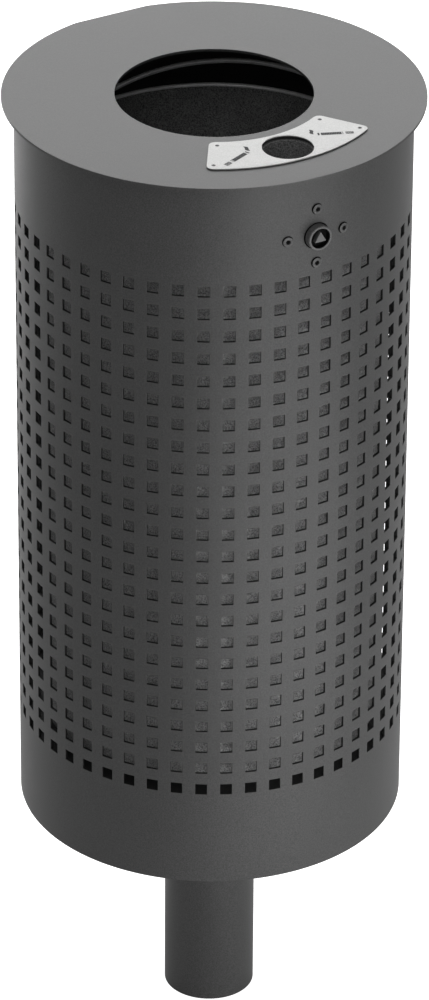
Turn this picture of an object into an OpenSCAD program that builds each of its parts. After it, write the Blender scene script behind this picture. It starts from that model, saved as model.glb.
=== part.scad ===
// Post-mounted litter bin: perforated round casing, flat hinged lid with a large
// round mouth and an ash plate, lift-out liner with a carrying bail, key lock.
// Millimetres. +Z is up, the lock faces -Y, the hinge is at +Y, and the origin
// is the centre of the post's lower end.

/* [Casing] */
// Outside diameter of the casing
casing_d = 400; // [390:1:410]
// Height of the casing from its lower edge to its upper edge
casing_h = 803; // [780:1:830]
// Sheet thickness of the casing
casing_wall = 3; // [2.5:0.1:3]

/* [Perforation] */
// Side of one square hole
hole_side = 12; // [8:1:14]
// Height from one row of holes to the next
hole_pitch = 25; // [20:1:25]
// Number of rows
hole_rows = 24; // [4:1:24]
// Number of columns around the casing
hole_columns = 48; // [24:2:48]
// Angle from one column to the next
column_step = 7.32; // [7:0.01:7.5]
// Height of the lowest row's centre above the casing's lower edge
first_row = 112; // [100:1:120]

/* [Post] */
// Outside diameter of the post
post_d = 95; // [80:1:110]
// Wall of the post
post_wall = 3; // [2:0.5:5]
// Length of post that shows below the casing
post_visible = 250; // [100:10:400]

/* [Lid] */
// Diameter of the lid
lid_d = 425; // [424:1:440]
// Thickness of the lid plate
lid_t = 3; // [2:0.5:4]
// Diameter of the round mouth in the lid
mouth_d = 198.6; // [150:0.2:200]
// Clear gap between the closed lid and the casing's upper edge
lid_gap = 0.4; // [0.3:0.1:1]

/* [Ash plate] */
// Inner radius of the ash plate
ash_inner = 113.5; // [110:0.5:116]
// Outer radius of the ash plate
ash_outer = 172.5; // [170:0.5:176]
// Angle from the plate's middle to each end
ash_half_angle = 32.8; // [30:0.1:36]
// Diameter of the hole for cigarette ends
ash_hole_d = 51; // [30:1:51]
// Distance of that hole from the lid's centre
ash_hole_r = 143.5; // [142:0.5:145]

/* [Liner] */
// Height of the liner's rim above the casing floor
liner_h = 626; // [580:1:626]
// Sheet thickness of the liner
liner_wall = 1; // [0.8:0.1:1.2]

/* [Lock] */
// Distance of the lock's axis below the casing's upper edge
lock_drop = 67; // [67:0.5:70]
// Diameter of the lock housing
lock_d = 26; // [24:1:28]

/* [Hidden] */

// Facets of large and small round shapes
big = 180;
small = 40;
// Overshoot that keeps a cut from ending on a face
over = 1;

// Casing and post
casing_r = casing_d / 2;
casing_in = casing_r - casing_wall;
casing_z = post_visible;
casing_top = casing_z + casing_h;
lowest_row_z = casing_z + first_row;
floor_t = 3;
floor_top = lowest_row_z - hole_side / 2 - 0.5;
floor_z = floor_top - floor_t;
drain_r = 6;
flange_t = 8;
flange_z = floor_z - flange_t;
flange_r = post_d / 2 + 47.5;
flange_bolt_r = post_d / 2 + 27.5;

// M10 fasteners of the flange
bolt_r = 5;
bolt_hole_r = 5.5;
bolt_head_t = 6.4;
nut_t = 8;
hex_r = 9.2;
washer_r = 10;
washer_t = 2;

// Lid
lid_r = lid_d / 2;
lid_z = casing_top + lid_gap;
lid_top = lid_z + lid_t;
lid_flat_y = casing_r + 8.5;
ash_well_r = ash_hole_d / 2 + 2;

// Hinge
hinge_y = casing_r + 7.5;
hinge_z = lid_z - 7.4;
hinge_pin_r = 4;
running_gap = 0.05;
bush_r = 5;
knuckle_r = 6.5;
lid_knuckle_half = 14.5;
bush_flange_t = 0.8;
bracket_knuckle_from = 15.5;
bracket_half = 34;
bracket_t = 4;
bracket_low = casing_top - 53;
bracket_high = casing_top - 13;
clip_at = bracket_half + 0.5;
clip_t = 1;
clip_groove_r = 3.2;
clip_r = 6.2;
pin_half = clip_at + clip_t + 2;
bracket_bolt_angle = 7;
bracket_bolt_low = bracket_low + 10;
bracket_bolt_high = bracket_low + 27;
m6_r = 3;
m6_head_r = 5.5;
m6_head_t = 3.3;
m6_nut_r = 5.6;
m6_nut_t = 5;

// Lock: everything is measured along the lock's axis, as a distance from the casing's axis
lock_z = casing_top - lock_drop;
lock_r = lock_d / 2;
lock_face = casing_r + 8;
lock_back = casing_r - 7;
recess_r = lock_r - 2.4;
recess_floor = lock_face - 7;
plate_t = 2;
plate_in = casing_in - plate_t;
plate_half = 40;
plate_angle = 12.5;
core_shaft_r = 6;
core_disc_r = recess_r - 0.5;
core_disc_t = 1.5;
triangle_r = 7.3;
triangle_face = lock_face - 0.3;
lock_hole_r = lock_r + 1;
cam_face = casing_r - 14.5;
cam_t = 3;
cam_back = cam_face - cam_t;
cam_square = 8;
cam_width = 11;
cam_reach = 19.5;
cam_disc_r = 7;
cam_screw_r = 2.5;
cam_screw_head_r = 4.5;
cam_screw_head_t = 2.4;
cam_screw_len = 7;
rivet_arm = 29.4;
rivet_angle = asin(31.5 / casing_r);
rivet_r = 3;
rivet_bore_r = 2.2;
rivet_head_r = 5.6;
rivet_head_t = 2.2;
rivet_tail_r = 3.7;
rivet_tail_t = 2.5;
rivet_places = [[0, rivet_arm], [0, -rivet_arm], [rivet_angle, 0], [-rivet_angle, 0]];

// Catch that hangs from the lid beside the lock's cam
catch_leg_x = [20.5, 26];
catch_foot_x = 8.5;
catch_foot_top = lock_z - cam_width / 2 - 1.5;
catch_foot_h = 11.5;
catch_flange_x = [12, 34];
catch_flange_y = casing_r - 7;

// Ash plate and cup
ash_t = 1.5;
ash_corner = 7;
ash_fix_r = [121.5, 164.5];
ash_fix_angle = [28.8, 30.4];
ash_rivet_r = 1.5;
ash_rivet_head_r = 2.1;
ash_rivet_head_t = 0.4;
cup_r = 26;
cup_wall = 1.2;
cup_h = 56;
cup_flange_half = 30;
cup_flange_t = 2;
cup_top = lid_z - 0.5;
cup_bottom = cup_top - cup_h;
rail_t = 2;
rail_gap = 1;
rail_in = 27.5;
rail_front = ash_hole_r + cup_flange_half + 0.5 + rail_t;
rail_back = ash_hole_r - cup_flange_half - 4;

// Liner
liner_r = casing_r - 26;
liner_in = liner_r - liner_wall;
liner_z = floor_top + 0.3;
liner_top = floor_top + liner_h;
bead_r = 2.5;
wire_r = 1.7;
bead_at = liner_r + 1.7;
bead_z = liner_top - bead_r;
base_raise = 12;

// Bail: a half hoop on two pins through the liner's wall
bail_r = liner_r - 6;
bail_wire_r = 2.6;
bail_axis = -47;
bail_tilt = 16;
bail_z = liner_top - 13;
bail_hole_r = bail_wire_r + 0.08;
bail_pin_end = liner_r + 3;
bail_head_r = 5;
bail_head_t = 2;
ear_t = 1.5;
ear_in = liner_in - ear_t;
ear_angle = 10;
ear_low = bail_z - 9;
ear_high = bail_z + 7;
ear_rivet_angles = [-7, 4.5];
ear_rivet_r = 2;
ear_rivet_head_r = 3.6;
ear_rivet_z = bail_z - 5;
ear_tab_y = [19, 25];
ear_tab_in = bail_r - 6;
ear_tab_t = 2;
ear_tab_top = bail_z + ear_tab_y[0] * tan(bail_tilt) - bail_wire_r / cos(bail_tilt) - 0.3;

// Places children with their Z axis pointing out of the casing, at an angle from the front
module outward(angle, height, radius) {
  rotate(angle) translate([0, -radius, height]) rotate([90, 0, 0]) children();
}

// A round bar along the lock's or a rivet's axis, from one distance to a greater one
module bar(r, from, to, sides = small) {
  translate([0, 0, from]) cylinder(r = r, h = to - from, $fn = sides);
}

// A domed head of radius r and height h, with a short straight rim
module dome(r, h) {
  cap = h * 0.9;
  ball = (r * r + cap * cap) / (2 * cap);
  rotate_extrude($fn = small) intersection() {
    translate([0, h - ball]) circle(r = ball, $fn = 96);
    square([r, h + over]);
  }
}

module ring(outer, inner, h, sides = big) {
  linear_extrude(h) difference() {
    circle(r = outer, $fn = sides);
    circle(r = inner, $fn = sides);
  }
}

// A flat wedge about -Y, to cut sectors with
module wedge(half, reach) {
  polygon([[0, 0], [-reach * sin(half), -reach * cos(half)], [0, -reach / cos(half)],
    [reach * sin(half), -reach * cos(half)]]);
}

// A flat ring sector about -Y
module sector(inner, outer, half) {
  intersection() {
    difference() {
      circle(r = outer, $fn = big);
      circle(r = inner, $fn = big);
    }
    wedge(half, outer * 1.1);
  }
}

module flange_places() {
  for (i = [0 : 3]) rotate(45 + 90 * i) translate([flange_bolt_r, 0, 0]) children();
}

module post() color("#3b3d3f")
  ring(post_d / 2, post_d / 2 - post_wall, flange_z);

module post_flange() color("#3b3d3f") translate([0, 0, flange_z]) difference() {
  cylinder(r = flange_r, h = flange_t, $fn = big);
  flange_places() translate([0, 0, -over])
    cylinder(r = bolt_hole_r, h = flange_t + 2 * over, $fn = small);
}

module flange_bolts() color("#b9bcbf") flange_places() {
  translate([0, 0, floor_top + washer_t]) cylinder(r = hex_r, h = bolt_head_t, $fn = 6);
  translate([0, 0, flange_z - washer_t - nut_t - 3])
    cylinder(r = bolt_r, h = floor_top + 2 * washer_t + nut_t + 3 - flange_z, $fn = small);
}

module flange_washers() color("#b9bcbf") flange_places()
  for (z = [floor_top, flange_z - washer_t])
    translate([0, 0, z]) ring(washer_r, bolt_hole_r, washer_t, small);

module flange_nuts() color("#b9bcbf") flange_places()
  translate([0, 0, flange_z - washer_t - nut_t]) difference() {
    cylinder(r = hex_r, h = nut_t, $fn = 6);
    translate([0, 0, -over]) cylinder(r = bolt_r + running_gap, h = nut_t + 2 * over, $fn = small);
  }

module hinge_bolt_places(radius) {
  for (side = [-1, 1]) for (z = [bracket_bolt_low, bracket_bolt_high])
    outward(180 + side * bracket_bolt_angle, z, radius) children();
}

module lock_rivet_places() {
  for (place = rivet_places) outward(place[0], lock_z + place[1], 0) children();
}

module casing() color("#484b4d") difference() {
  translate([0, 0, casing_z]) cylinder(r = casing_r, h = casing_h, $fn = big);
  translate([0, 0, casing_z - over]) cylinder(r = casing_in, h = casing_h + 2 * over, $fn = big);
  for (row = [0 : hole_rows - 1]) for (column = [0 : hole_columns - 1])
    rotate((column + 0.5 - hole_columns / 2) * column_step)
      translate([-hole_side / 2, -casing_r - over, lowest_row_z - hole_side / 2 + row * hole_pitch])
        cube([hole_side, casing_wall + 3 * over, hole_side]);
  outward(0, lock_z, casing_in - over)
    cylinder(r = lock_hole_r, h = casing_wall + 2 * over, $fn = small);
  lock_rivet_places() bar(rivet_r + 0.1, casing_in - over, casing_r + over);
  hinge_bolt_places(casing_in - over) cylinder(r = m6_r + 0.3, h = casing_wall + 2 * over, $fn = small);
}

module casing_floor() color("#3b3d3f") difference() {
  translate([0, 0, floor_z]) cylinder(r = casing_in, h = floor_t, $fn = big);
  flange_places() translate([0, 0, floor_z - over])
    cylinder(r = bolt_hole_r, h = floor_t + 2 * over, $fn = small);
  for (i = [0 : 5]) rotate(60 * i) translate([casing_in * 0.8, 0, floor_z - over])
    cylinder(r = drain_r, h = floor_t + 2 * over, $fn = small);
}

module lock_plate() color("#8f9295") difference() {
  translate([0, 0, lock_z - plate_half]) linear_extrude(2 * plate_half)
    sector(plate_in, casing_in, plate_angle);
  outward(0, lock_z, 0) bar(lock_r, plate_in - over, casing_in + over);
  lock_rivet_places() bar(rivet_r + 0.1, plate_in - over, casing_in + over);
}

module lock_housing() color("#55585a") outward(0, lock_z, 0) difference() {
  bar(lock_r, lock_back, lock_face);
  bar(recess_r, recess_floor, lock_face + over);
  bar(core_shaft_r + running_gap, lock_back - over, lock_face);
}

// Open-ended dome rivets, upset behind the lock plate
module lock_rivets() color("#5d6062") lock_rivet_places() difference() {
  union() {
    bar(rivet_r, plate_in - rivet_tail_t, casing_r + over);
    bar(rivet_tail_r, plate_in - 0.1 - rivet_tail_t, plate_in - 0.1);
    translate([0, 0, casing_r]) dome(rivet_head_r, rivet_head_t);
  }
  bar(rivet_bore_r, plate_in - rivet_tail_t - over, casing_r + rivet_head_t + over);
}

module lock_core() color("#77797b") outward(0, lock_z, 0) difference() {
  union() {
    bar(core_disc_r, recess_floor + running_gap, recess_floor + core_disc_t);
    bar(core_shaft_r, cam_face, recess_floor + over);
    translate([-cam_square / 2, -cam_square / 2, cam_back]) cube([cam_square, cam_square, cam_t + over]);
    translate([0, 0, recess_floor + core_disc_t]) rotate(90)
      cylinder(r = triangle_r, h = triangle_face - recess_floor - core_disc_t, $fn = 3);
  }
  bar(cam_screw_r + running_gap, cam_back - over, cam_back + cam_screw_len + over);
}

module lock_cam() color("#b9bcbf") outward(0, lock_z, 0) difference() {
  union() {
    bar(cam_disc_r, cam_back, cam_face);
    translate([-cam_width / 2, 0, cam_back]) cube([cam_width, cam_reach - cam_width / 2, cam_t]);
    translate([0, cam_reach - cam_width / 2, 0]) bar(cam_width / 2, cam_back, cam_face);
  }
  translate([-cam_square / 2 - running_gap, -cam_square / 2 - running_gap, cam_back - over])
    cube([cam_square + 2 * running_gap, cam_square + 2 * running_gap, cam_t + 2 * over]);
}

module lock_cam_screw() color("#b9bcbf") outward(0, lock_z, 0) difference() {
  union() {
    bar(cam_screw_head_r, cam_back - cam_screw_head_t, cam_back);
    bar(cam_screw_r, cam_back - over, cam_back + cam_screw_len);
  }
  translate([0, 0, cam_back - cam_screw_head_t - over]) cylinder(r = 1.7, h = over + 1.4, $fn = 6);
}

module across(r, half, sides = small) {
  translate([-half, hinge_y, hinge_z]) rotate([0, 90, 0]) cylinder(r = r, h = 2 * half, $fn = sides);
}

module hinge_bracket() color("#484b4d") difference() {
  union() {
    rotate(180) translate([0, 0, bracket_low]) linear_extrude(bracket_high - bracket_low)
      intersection() {
        circle(r = casing_r + bracket_t, $fn = big);
        translate([-bracket_half, -2 * casing_r]) square([2 * bracket_half, 2 * casing_r]);
      }
    for (side = [0, 1]) mirror([side, 0, 0]) {
      translate([bracket_knuckle_from, hinge_y, hinge_z]) rotate([0, 90, 0])
        cylinder(r = knuckle_r, h = bracket_half - bracket_knuckle_from, $fn = small);
      translate([bracket_knuckle_from, hinge_y - knuckle_r - 3, bracket_high - 6])
        cube([bracket_half - bracket_knuckle_from, knuckle_r + 3, hinge_z - bracket_high + 6]);
    }
  }
  translate([0, 0, casing_z]) cylinder(r = casing_r, h = casing_h + 10, $fn = big);
  across(hinge_pin_r + running_gap, bracket_half + over);
  hinge_bolt_places(casing_r - over) cylinder(r = m6_r + 0.3, h = bracket_t + 2 * over, $fn = small);
}

module hinge_bolts() color("#b9bcbf") hinge_bolt_places(0) difference() {
  union() {
    bar(m6_r, casing_in - m6_nut_t - 1.5, casing_r + bracket_t + over);
    translate([0, 0, casing_r + bracket_t]) dome(m6_head_r, m6_head_t);
  }
  translate([0, 0, casing_r + bracket_t + m6_head_t - 2]) cylinder(r = 2.3, h = 2 + over, $fn = 6);
}

module hinge_nuts() color("#b9bcbf") hinge_bolt_places(casing_in - 0.1 - m6_nut_t) difference() {
  cylinder(r = m6_nut_r, h = m6_nut_t, $fn = 6);
  translate([0, 0, -over]) cylinder(r = m6_r + running_gap, h = m6_nut_t + 2 * over, $fn = small);
}

module hinge_pin() color("#b9bcbf") difference() {
  across(hinge_pin_r, pin_half);
  for (side = [0, 1]) mirror([side, 0, 0])
    translate([clip_at, hinge_y, hinge_z]) rotate([0, 90, 0])
      ring(hinge_pin_r + over, clip_groove_r, clip_t, small);
}

module hinge_clips() color("#b9bcbf") for (side = [0, 1]) mirror([side, 0, 0])
  translate([clip_at, hinge_y, hinge_z]) rotate([0, 90, 0]) difference() {
    cylinder(r = clip_r, h = clip_t, $fn = small);
    translate([0, 0, -over]) cylinder(r = clip_groove_r, h = clip_t + 2 * over, $fn = small);
    translate([-clip_groove_r * 0.8, 0, -over])
      cube([clip_groove_r * 1.6, clip_r + over, clip_t + 2 * over]);
  }

module ash_fix_places() {
  for (i = [0, 1]) for (side = [-1, 1])
    rotate(side * ash_fix_angle[i]) translate([0, -ash_fix_r[i], 0]) children();
}

module lid() color("#5c5f61") translate([0, 0, lid_z]) difference() {
  linear_extrude(lid_t) difference() {
    circle(r = lid_r, $fn = big);
    circle(r = mouth_d / 2, $fn = big);
    translate([0, -ash_hole_r]) circle(r = ash_well_r, $fn = small);
    translate([-lid_r, lid_flat_y]) square([2 * lid_r, lid_r]);
  }
  ash_fix_places() translate([0, 0, -over])
    cylinder(r = ash_rivet_r + 0.1, h = lid_t + 2 * over, $fn = small);
}

module lid_knuckle() color("#484b4d") difference() {
  union() {
    across(knuckle_r, lid_knuckle_half);
    translate([-lid_knuckle_half, hinge_y - 5, hinge_z])
      cube([2 * lid_knuckle_half, lid_flat_y - hinge_y + 5, lid_z - hinge_z]);
  }
  across(bush_r, lid_knuckle_half + over);
}

module hinge_bushes() color("#1d1e1f") for (side = [0, 1]) mirror([side, 0, 0])
  translate([1, hinge_y, hinge_z]) rotate([0, 90, 0]) difference() {
    union() {
      cylinder(r = bush_r, h = lid_knuckle_half - 1, $fn = small);
      translate([0, 0, lid_knuckle_half - 1]) cylinder(r = knuckle_r, h = bush_flange_t, $fn = small);
    }
    translate([0, 0, -over])
      cylinder(r = hinge_pin_r + running_gap, h = lid_knuckle_half + 2 * over, $fn = small);
  }

module lid_catch() color("#8f9295") {
  translate([0, -cam_back, 0]) rotate([90, 0, 0]) linear_extrude(cam_t) polygon([
    [catch_foot_x, catch_foot_top - catch_foot_h],
    [catch_leg_x[1], catch_foot_top - catch_foot_h],
    [catch_leg_x[1], lid_z],
    [catch_leg_x[0], lid_z],
    [catch_leg_x[0], catch_foot_top],
    [catch_foot_x, catch_foot_top]]);
  translate([catch_flange_x[0], -catch_flange_y, lid_z - cam_t])
    cube([catch_flange_x[1] - catch_flange_x[0], catch_flange_y - cam_back, cam_t]);
}

module ash_outline() {
  outer = ash_outer - ash_corner;
  inner = ash_inner + ash_corner;
  outer_turn = asin(ash_corner / outer);
  inner_turn = asin(ash_corner / inner);
  sector(inner * cos(inner_turn), outer * cos(outer_turn), ash_half_angle);
  sector(outer - ash_corner, ash_outer, ash_half_angle - outer_turn);
  sector(ash_inner, inner + ash_corner, ash_half_angle - inner_turn);
  for (side = [-1, 1]) {
    rotate(side * (ash_half_angle - outer_turn)) translate([0, -outer]) circle(r = ash_corner, $fn = small);
    rotate(side * (ash_half_angle - inner_turn)) translate([0, -inner]) circle(r = ash_corner, $fn = small);
  }
}

module ash_plate() color("#d9dadb") translate([0, 0, lid_top]) difference() {
  linear_extrude(ash_t) difference() {
    ash_outline();
    translate([0, -ash_hole_r]) circle(r = ash_hole_d / 2, $fn = small);
  }
  ash_fix_places() translate([0, 0, -over])
    cylinder(r = ash_rivet_r + 0.1, h = ash_t + 2 * over, $fn = small);
}

module ash_plate_rivets() color("#c3c5c7") ash_fix_places() {
  translate([0, 0, lid_z - 1.2]) cylinder(r = ash_rivet_r, h = lid_t + ash_t + 1.6, $fn = small);
  translate([0, 0, lid_z - 1.4]) cylinder(r = ash_rivet_r + 0.8, h = 1.3, $fn = small);
  translate([0, 0, lid_top + ash_t]) dome(ash_rivet_head_r, ash_rivet_head_t);
}

module ash_cup_rails() color("#8f9295") {
  web = cup_flange_half + rail_gap;
  lip_z = cup_top - cup_flange_t - rail_gap - rail_t;
  for (side = [0, 1]) mirror([side, 0, 0]) {
    translate([web, -rail_front, lip_z]) cube([rail_t, rail_front - rail_back, lid_z - lip_z]);
    translate([rail_in, -rail_front, lip_z]) cube([web + rail_t - rail_in, rail_front - rail_back, rail_t]);
    translate([rail_in, -rail_front, lip_z]) cube([web + rail_t - rail_in, rail_t, lid_z - lip_z]);
  }
}

module ash_cup() color("#c3c5c7") translate([0, -ash_hole_r, 0]) {
  difference() {
    union() {
      translate([0, 0, cup_bottom]) cylinder(r = cup_r, h = cup_h, $fn = big);
      translate([-cup_flange_half, -cup_flange_half, cup_top - cup_flange_t])
        cube([2 * cup_flange_half, 2 * cup_flange_half, cup_flange_t]);
    }
    translate([0, 0, cup_bottom + cup_wall]) cylinder(r = cup_r - cup_wall, h = cup_h, $fn = big);
  }
  // Pull tab, bent down at the edge that faces the mouth
  translate([-12, cup_flange_half - cup_wall, cup_top - 14]) cube([24, cup_wall, 14]);
}

module bail_frame() {
  translate([0, 0, bail_z]) rotate(bail_axis) children();
}

// The side to which the bail leans away from each of its ends
function lean(turn) = turn == 0 ? 1 : -1;

// A place on the liner's wall beside a pivot, with its Z axis pointing outwards
module ear_place(turn, angle, height) {
  translate([0, 0, height]) rotate(bail_axis + turn + angle) rotate([0, 90, 0]) children();
}

module ear_rivet_places() {
  for (turn = [0, 180]) for (angle = ear_rivet_angles)
    ear_place(turn, lean(turn) * angle, ear_rivet_z) children();
}

module ear_holes() {
  for (turn = [0, 180]) ear_place(turn, 0, bail_z) bar(bail_hole_r, ear_in - over, liner_r + over);
  ear_rivet_places() bar(ear_rivet_r + 0.1, ear_in - over, liner_r + over);
}

module liner_shell() color("#8b9094") difference() {
  rotate_extrude($fn = big) difference() {
    union() {
      translate([liner_in, liner_z]) square([liner_wall, bead_z - liner_z]);
      translate([bead_at, bead_z]) circle(r = bead_r, $fn = small);
    }
    translate([bead_at, bead_z]) circle(r = wire_r + running_gap, $fn = small);
  }
  ear_holes();
}

module liner_rim_wire() color("#8b9094") rotate_extrude($fn = big)
  translate([bead_at, bead_z]) circle(r = wire_r, $fn = small);

module liner_base() color("#8b9094") difference() {
  translate([0, 0, liner_z + base_raise]) cylinder(r = liner_in, h = liner_wall, $fn = big);
  for (i = [0 : 5]) rotate(60 * i) translate([liner_r * 0.62, 0, liner_z])
    cylinder(r = drain_r, h = 2 * base_raise, $fn = small);
}

module bail_ears() color("#8b9094") difference() {
  for (turn = [0, 180]) rotate(bail_axis + turn) {
    translate([0, 0, ear_low]) rotate(90) linear_extrude(ear_high - ear_low)
      sector(ear_in, liner_in, ear_angle);
    // Rest tab under the folded bail
    translate([ear_tab_in, lean(turn) > 0 ? ear_tab_y[0] : -ear_tab_y[1], ear_tab_top - ear_tab_t])
      cube([ear_in - 1 - ear_tab_in, ear_tab_y[1] - ear_tab_y[0], ear_tab_t]);
  }
  ear_holes();
}

module ear_rivets() color("#8b9094") ear_rivet_places() {
  bar(ear_rivet_r, ear_in - 0.9, liner_r + 0.5);
  bar(ear_rivet_head_r, ear_in - 1.2, ear_in - 0.1);
  bar(ear_rivet_head_r, liner_r, liner_r + 1.2);
}

module liner_bail() color("#a9adb0") bail_frame() rotate([bail_tilt, 0, 0]) {
  rotate_extrude(angle = 180, $fn = big) translate([bail_r, 0]) circle(r = bail_wire_r, $fn = small);
  for (turn = [0, 180]) rotate(turn) rotate([0, 90, 0]) {
    translate([0, 0, bail_r]) sphere(r = bail_wire_r, $fn = small);
    bar(bail_wire_r, bail_r, bail_pin_end + 1);
    bar(bail_head_r, bail_pin_end, bail_pin_end + bail_head_t);
  }
}

post();
post_flange();
flange_bolts();
flange_washers();
flange_nuts();
casing();
casing_floor();
lock_plate();
lock_housing();
lock_rivets();
lock_core();
lock_cam();
lock_cam_screw();
hinge_bracket();
hinge_bolts();
hinge_nuts();
hinge_pin();
hinge_clips();
lid();
lid_knuckle();
hinge_bushes();
lid_catch();
ash_plate();
ash_plate_rivets();
ash_cup_rails();
ash_cup();
liner_shell();
liner_rim_wire();
liner_base();
bail_ears();
ear_rivets();
liner_bail();
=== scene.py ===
"""Looks of the post-mounted litter bin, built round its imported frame. Lengths are in metres."""

import math

import bmesh
import bpy
from mathutils import Matrix, Vector


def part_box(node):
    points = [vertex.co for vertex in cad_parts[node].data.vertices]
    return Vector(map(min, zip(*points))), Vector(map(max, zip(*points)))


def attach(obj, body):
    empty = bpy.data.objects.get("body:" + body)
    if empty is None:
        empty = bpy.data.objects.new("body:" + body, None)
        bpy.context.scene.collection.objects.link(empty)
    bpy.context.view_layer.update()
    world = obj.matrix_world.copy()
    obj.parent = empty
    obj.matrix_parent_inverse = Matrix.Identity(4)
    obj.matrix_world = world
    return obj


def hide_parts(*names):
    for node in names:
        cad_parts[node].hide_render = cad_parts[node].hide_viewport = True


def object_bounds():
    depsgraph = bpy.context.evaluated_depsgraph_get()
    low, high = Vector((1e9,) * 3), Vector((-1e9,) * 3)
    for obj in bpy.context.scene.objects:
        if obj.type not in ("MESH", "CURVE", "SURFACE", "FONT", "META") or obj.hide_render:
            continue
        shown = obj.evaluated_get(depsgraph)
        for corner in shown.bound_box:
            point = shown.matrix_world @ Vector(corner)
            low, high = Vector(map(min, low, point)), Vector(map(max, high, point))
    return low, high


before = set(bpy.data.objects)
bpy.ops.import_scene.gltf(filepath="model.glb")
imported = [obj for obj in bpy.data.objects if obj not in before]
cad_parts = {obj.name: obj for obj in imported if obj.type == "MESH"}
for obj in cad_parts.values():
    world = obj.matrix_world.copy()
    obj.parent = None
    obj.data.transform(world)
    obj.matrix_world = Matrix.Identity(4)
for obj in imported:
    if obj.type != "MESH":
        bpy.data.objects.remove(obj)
cad_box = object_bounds()

MM = 0.001
ROUND = 192                    # segments of a large round shape
MEDIUM = 96                    # segments of a middling one
FINE = 48                      # segments of a small one
CREASE = math.radians(38)      # edges sharper than this stay crisp
WHITE = (1.0, 1.0, 1.0, 1.0)

# ---- places and sizes, from the frame -------------------------------------------------

casing_lo, casing_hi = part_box("casing")
lid_lo, lid_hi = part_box("lid")
plate_lo, plate_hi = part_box("ash_plate")
post_lo, post_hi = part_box("post")
liner_lo, liner_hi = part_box("liner_shell")
lock_lo, lock_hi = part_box("lock_housing")
bracket_lo, bracket_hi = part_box("hinge_bracket")
pin_lo, pin_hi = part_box("hinge_pin")
cup_lo, cup_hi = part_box("ash_cup")

CASING_R = 200 * MM
CASING_WALL = 3 * MM
CASING_IN = CASING_R - CASING_WALL
CASING_BOTTOM = casing_lo.z
CASING_TOP = casing_hi.z
HOLE = 12 * MM
HOLE_PITCH = 25 * MM
HOLE_ROWS = 24
HOLE_COLUMNS = 48
COLUMN_STEP = math.radians(7.32)
FIRST_ROW_Z = CASING_BOTTOM + 112 * MM
LID_R = 212.5 * MM
LID_FLAT_Y = lid_hi.y
MOUTH_R = 99.3 * MM
ASH_HOLE_Y = -143.5 * MM
ASH_HOLE_R = 25.5 * MM
ASH_WELL_R = 27.5 * MM         # the hole in the lid, under the plate's hole
PLATE_INNER = 113.5 * MM
PLATE_OUTER = 172.5 * MM
PLATE_HALF_ANGLE = 32.8        # degrees from the front
PLATE_CORNER = 7 * MM
POST_R = 47.5 * MM
POST_WALL = 3 * MM
LINER_R = 175.0 * MM
LINER_WALL = 2.0 * MM
LINER_IN = LINER_R - LINER_WALL
LINER_BEAD = 2.5 * MM
LINER_BEAD_Z = liner_hi.z - LINER_BEAD
LINER_WALL_TOP = LINER_BEAD_Z - 0.6 * MM
BEAD_AT = 175.7 * MM           # the rim bead's own centre, from the liner's axis
LOCK_Z = (lock_lo.z + lock_hi.z) / 2
LOCK_R = (lock_hi.x - lock_lo.x) / 2
LOCK_FACE = -lock_lo.y
LOCK_HOLE_R = LOCK_R + 1 * MM
RECESS_R = LOCK_R - 2.4 * MM
RECESS_FLOOR = LOCK_FACE - 7 * MM
HINGE_Y = (pin_lo.y + pin_hi.y) / 2
HINGE_Z = (pin_lo.z + pin_hi.z) / 2
KNUCKLE_R = 6.5 * MM
KNUCKLE_HALF = 14.5 * MM
BUSH_R = 5 * MM
BUSH_BORE = 4.05 * MM
PIN_R = 4 * MM
PIN_GROOVE_R = 3.2 * MM
CLIP_AT = pin_hi.x - 3 * MM
CLIP_T = 1 * MM


# ---- mesh helpers ---------------------------------------------------------------------

def arc(x, y, radius, start, end, steps):
    """Points on a circle about (x, y), from one angle to another, in degrees."""
    angles = [math.radians(start + (end - start) * i / steps) for i in range(steps + 1)]
    return [(x + radius * math.cos(a), y + radius * math.sin(a)) for a in angles]


def circle(x, y, radius, segments=ROUND):
    return arc(x, y, radius, 0, 360, segments)[:-1]


def rectangle(left, front, right, rear):
    return [(left, front), (right, front), (right, rear), (left, rear)]


def rounded(points, radius, steps=3):
    """A closed outline with each corner replaced by a small curve that ends radius from the corner."""
    made = []
    for i, corner in enumerate(points):
        here = Vector(corner)
        before = Vector(points[i - 1]) - here
        after = Vector(points[(i + 1) % len(points)]) - here
        reach = min(radius, before.length / 2, after.length / 2)
        start = here + before.normalized() * reach
        end = here + after.normalized() * reach
        for k in range(steps + 1):
            t = k / steps
            made.append(tuple(start * (1 - t) ** 2 + here * 2 * t * (1 - t) + end * t * t))
    return made


def shade(mesh):
    for face in mesh.polygons:
        face.use_smooth = True
    mesh.set_sharp_from_angle(angle=CREASE)


def new_object(name, mesh, weighted=True):
    shade(mesh)
    made = bpy.data.objects.new(name, mesh)
    bpy.context.scene.collection.objects.link(made)
    if weighted:
        modifier = made.modifiers.new("normals", "WEIGHTED_NORMAL")
        modifier.keep_sharp = True
    return made


def mesh_from(name, bm):
    bmesh.ops.recalc_face_normals(bm, faces=bm.faces)
    mesh = bpy.data.meshes.new(name)
    bm.to_mesh(mesh)
    bm.free()
    return mesh


def piece_from(name, bm):
    return new_object(name, mesh_from(name, bm))


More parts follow.
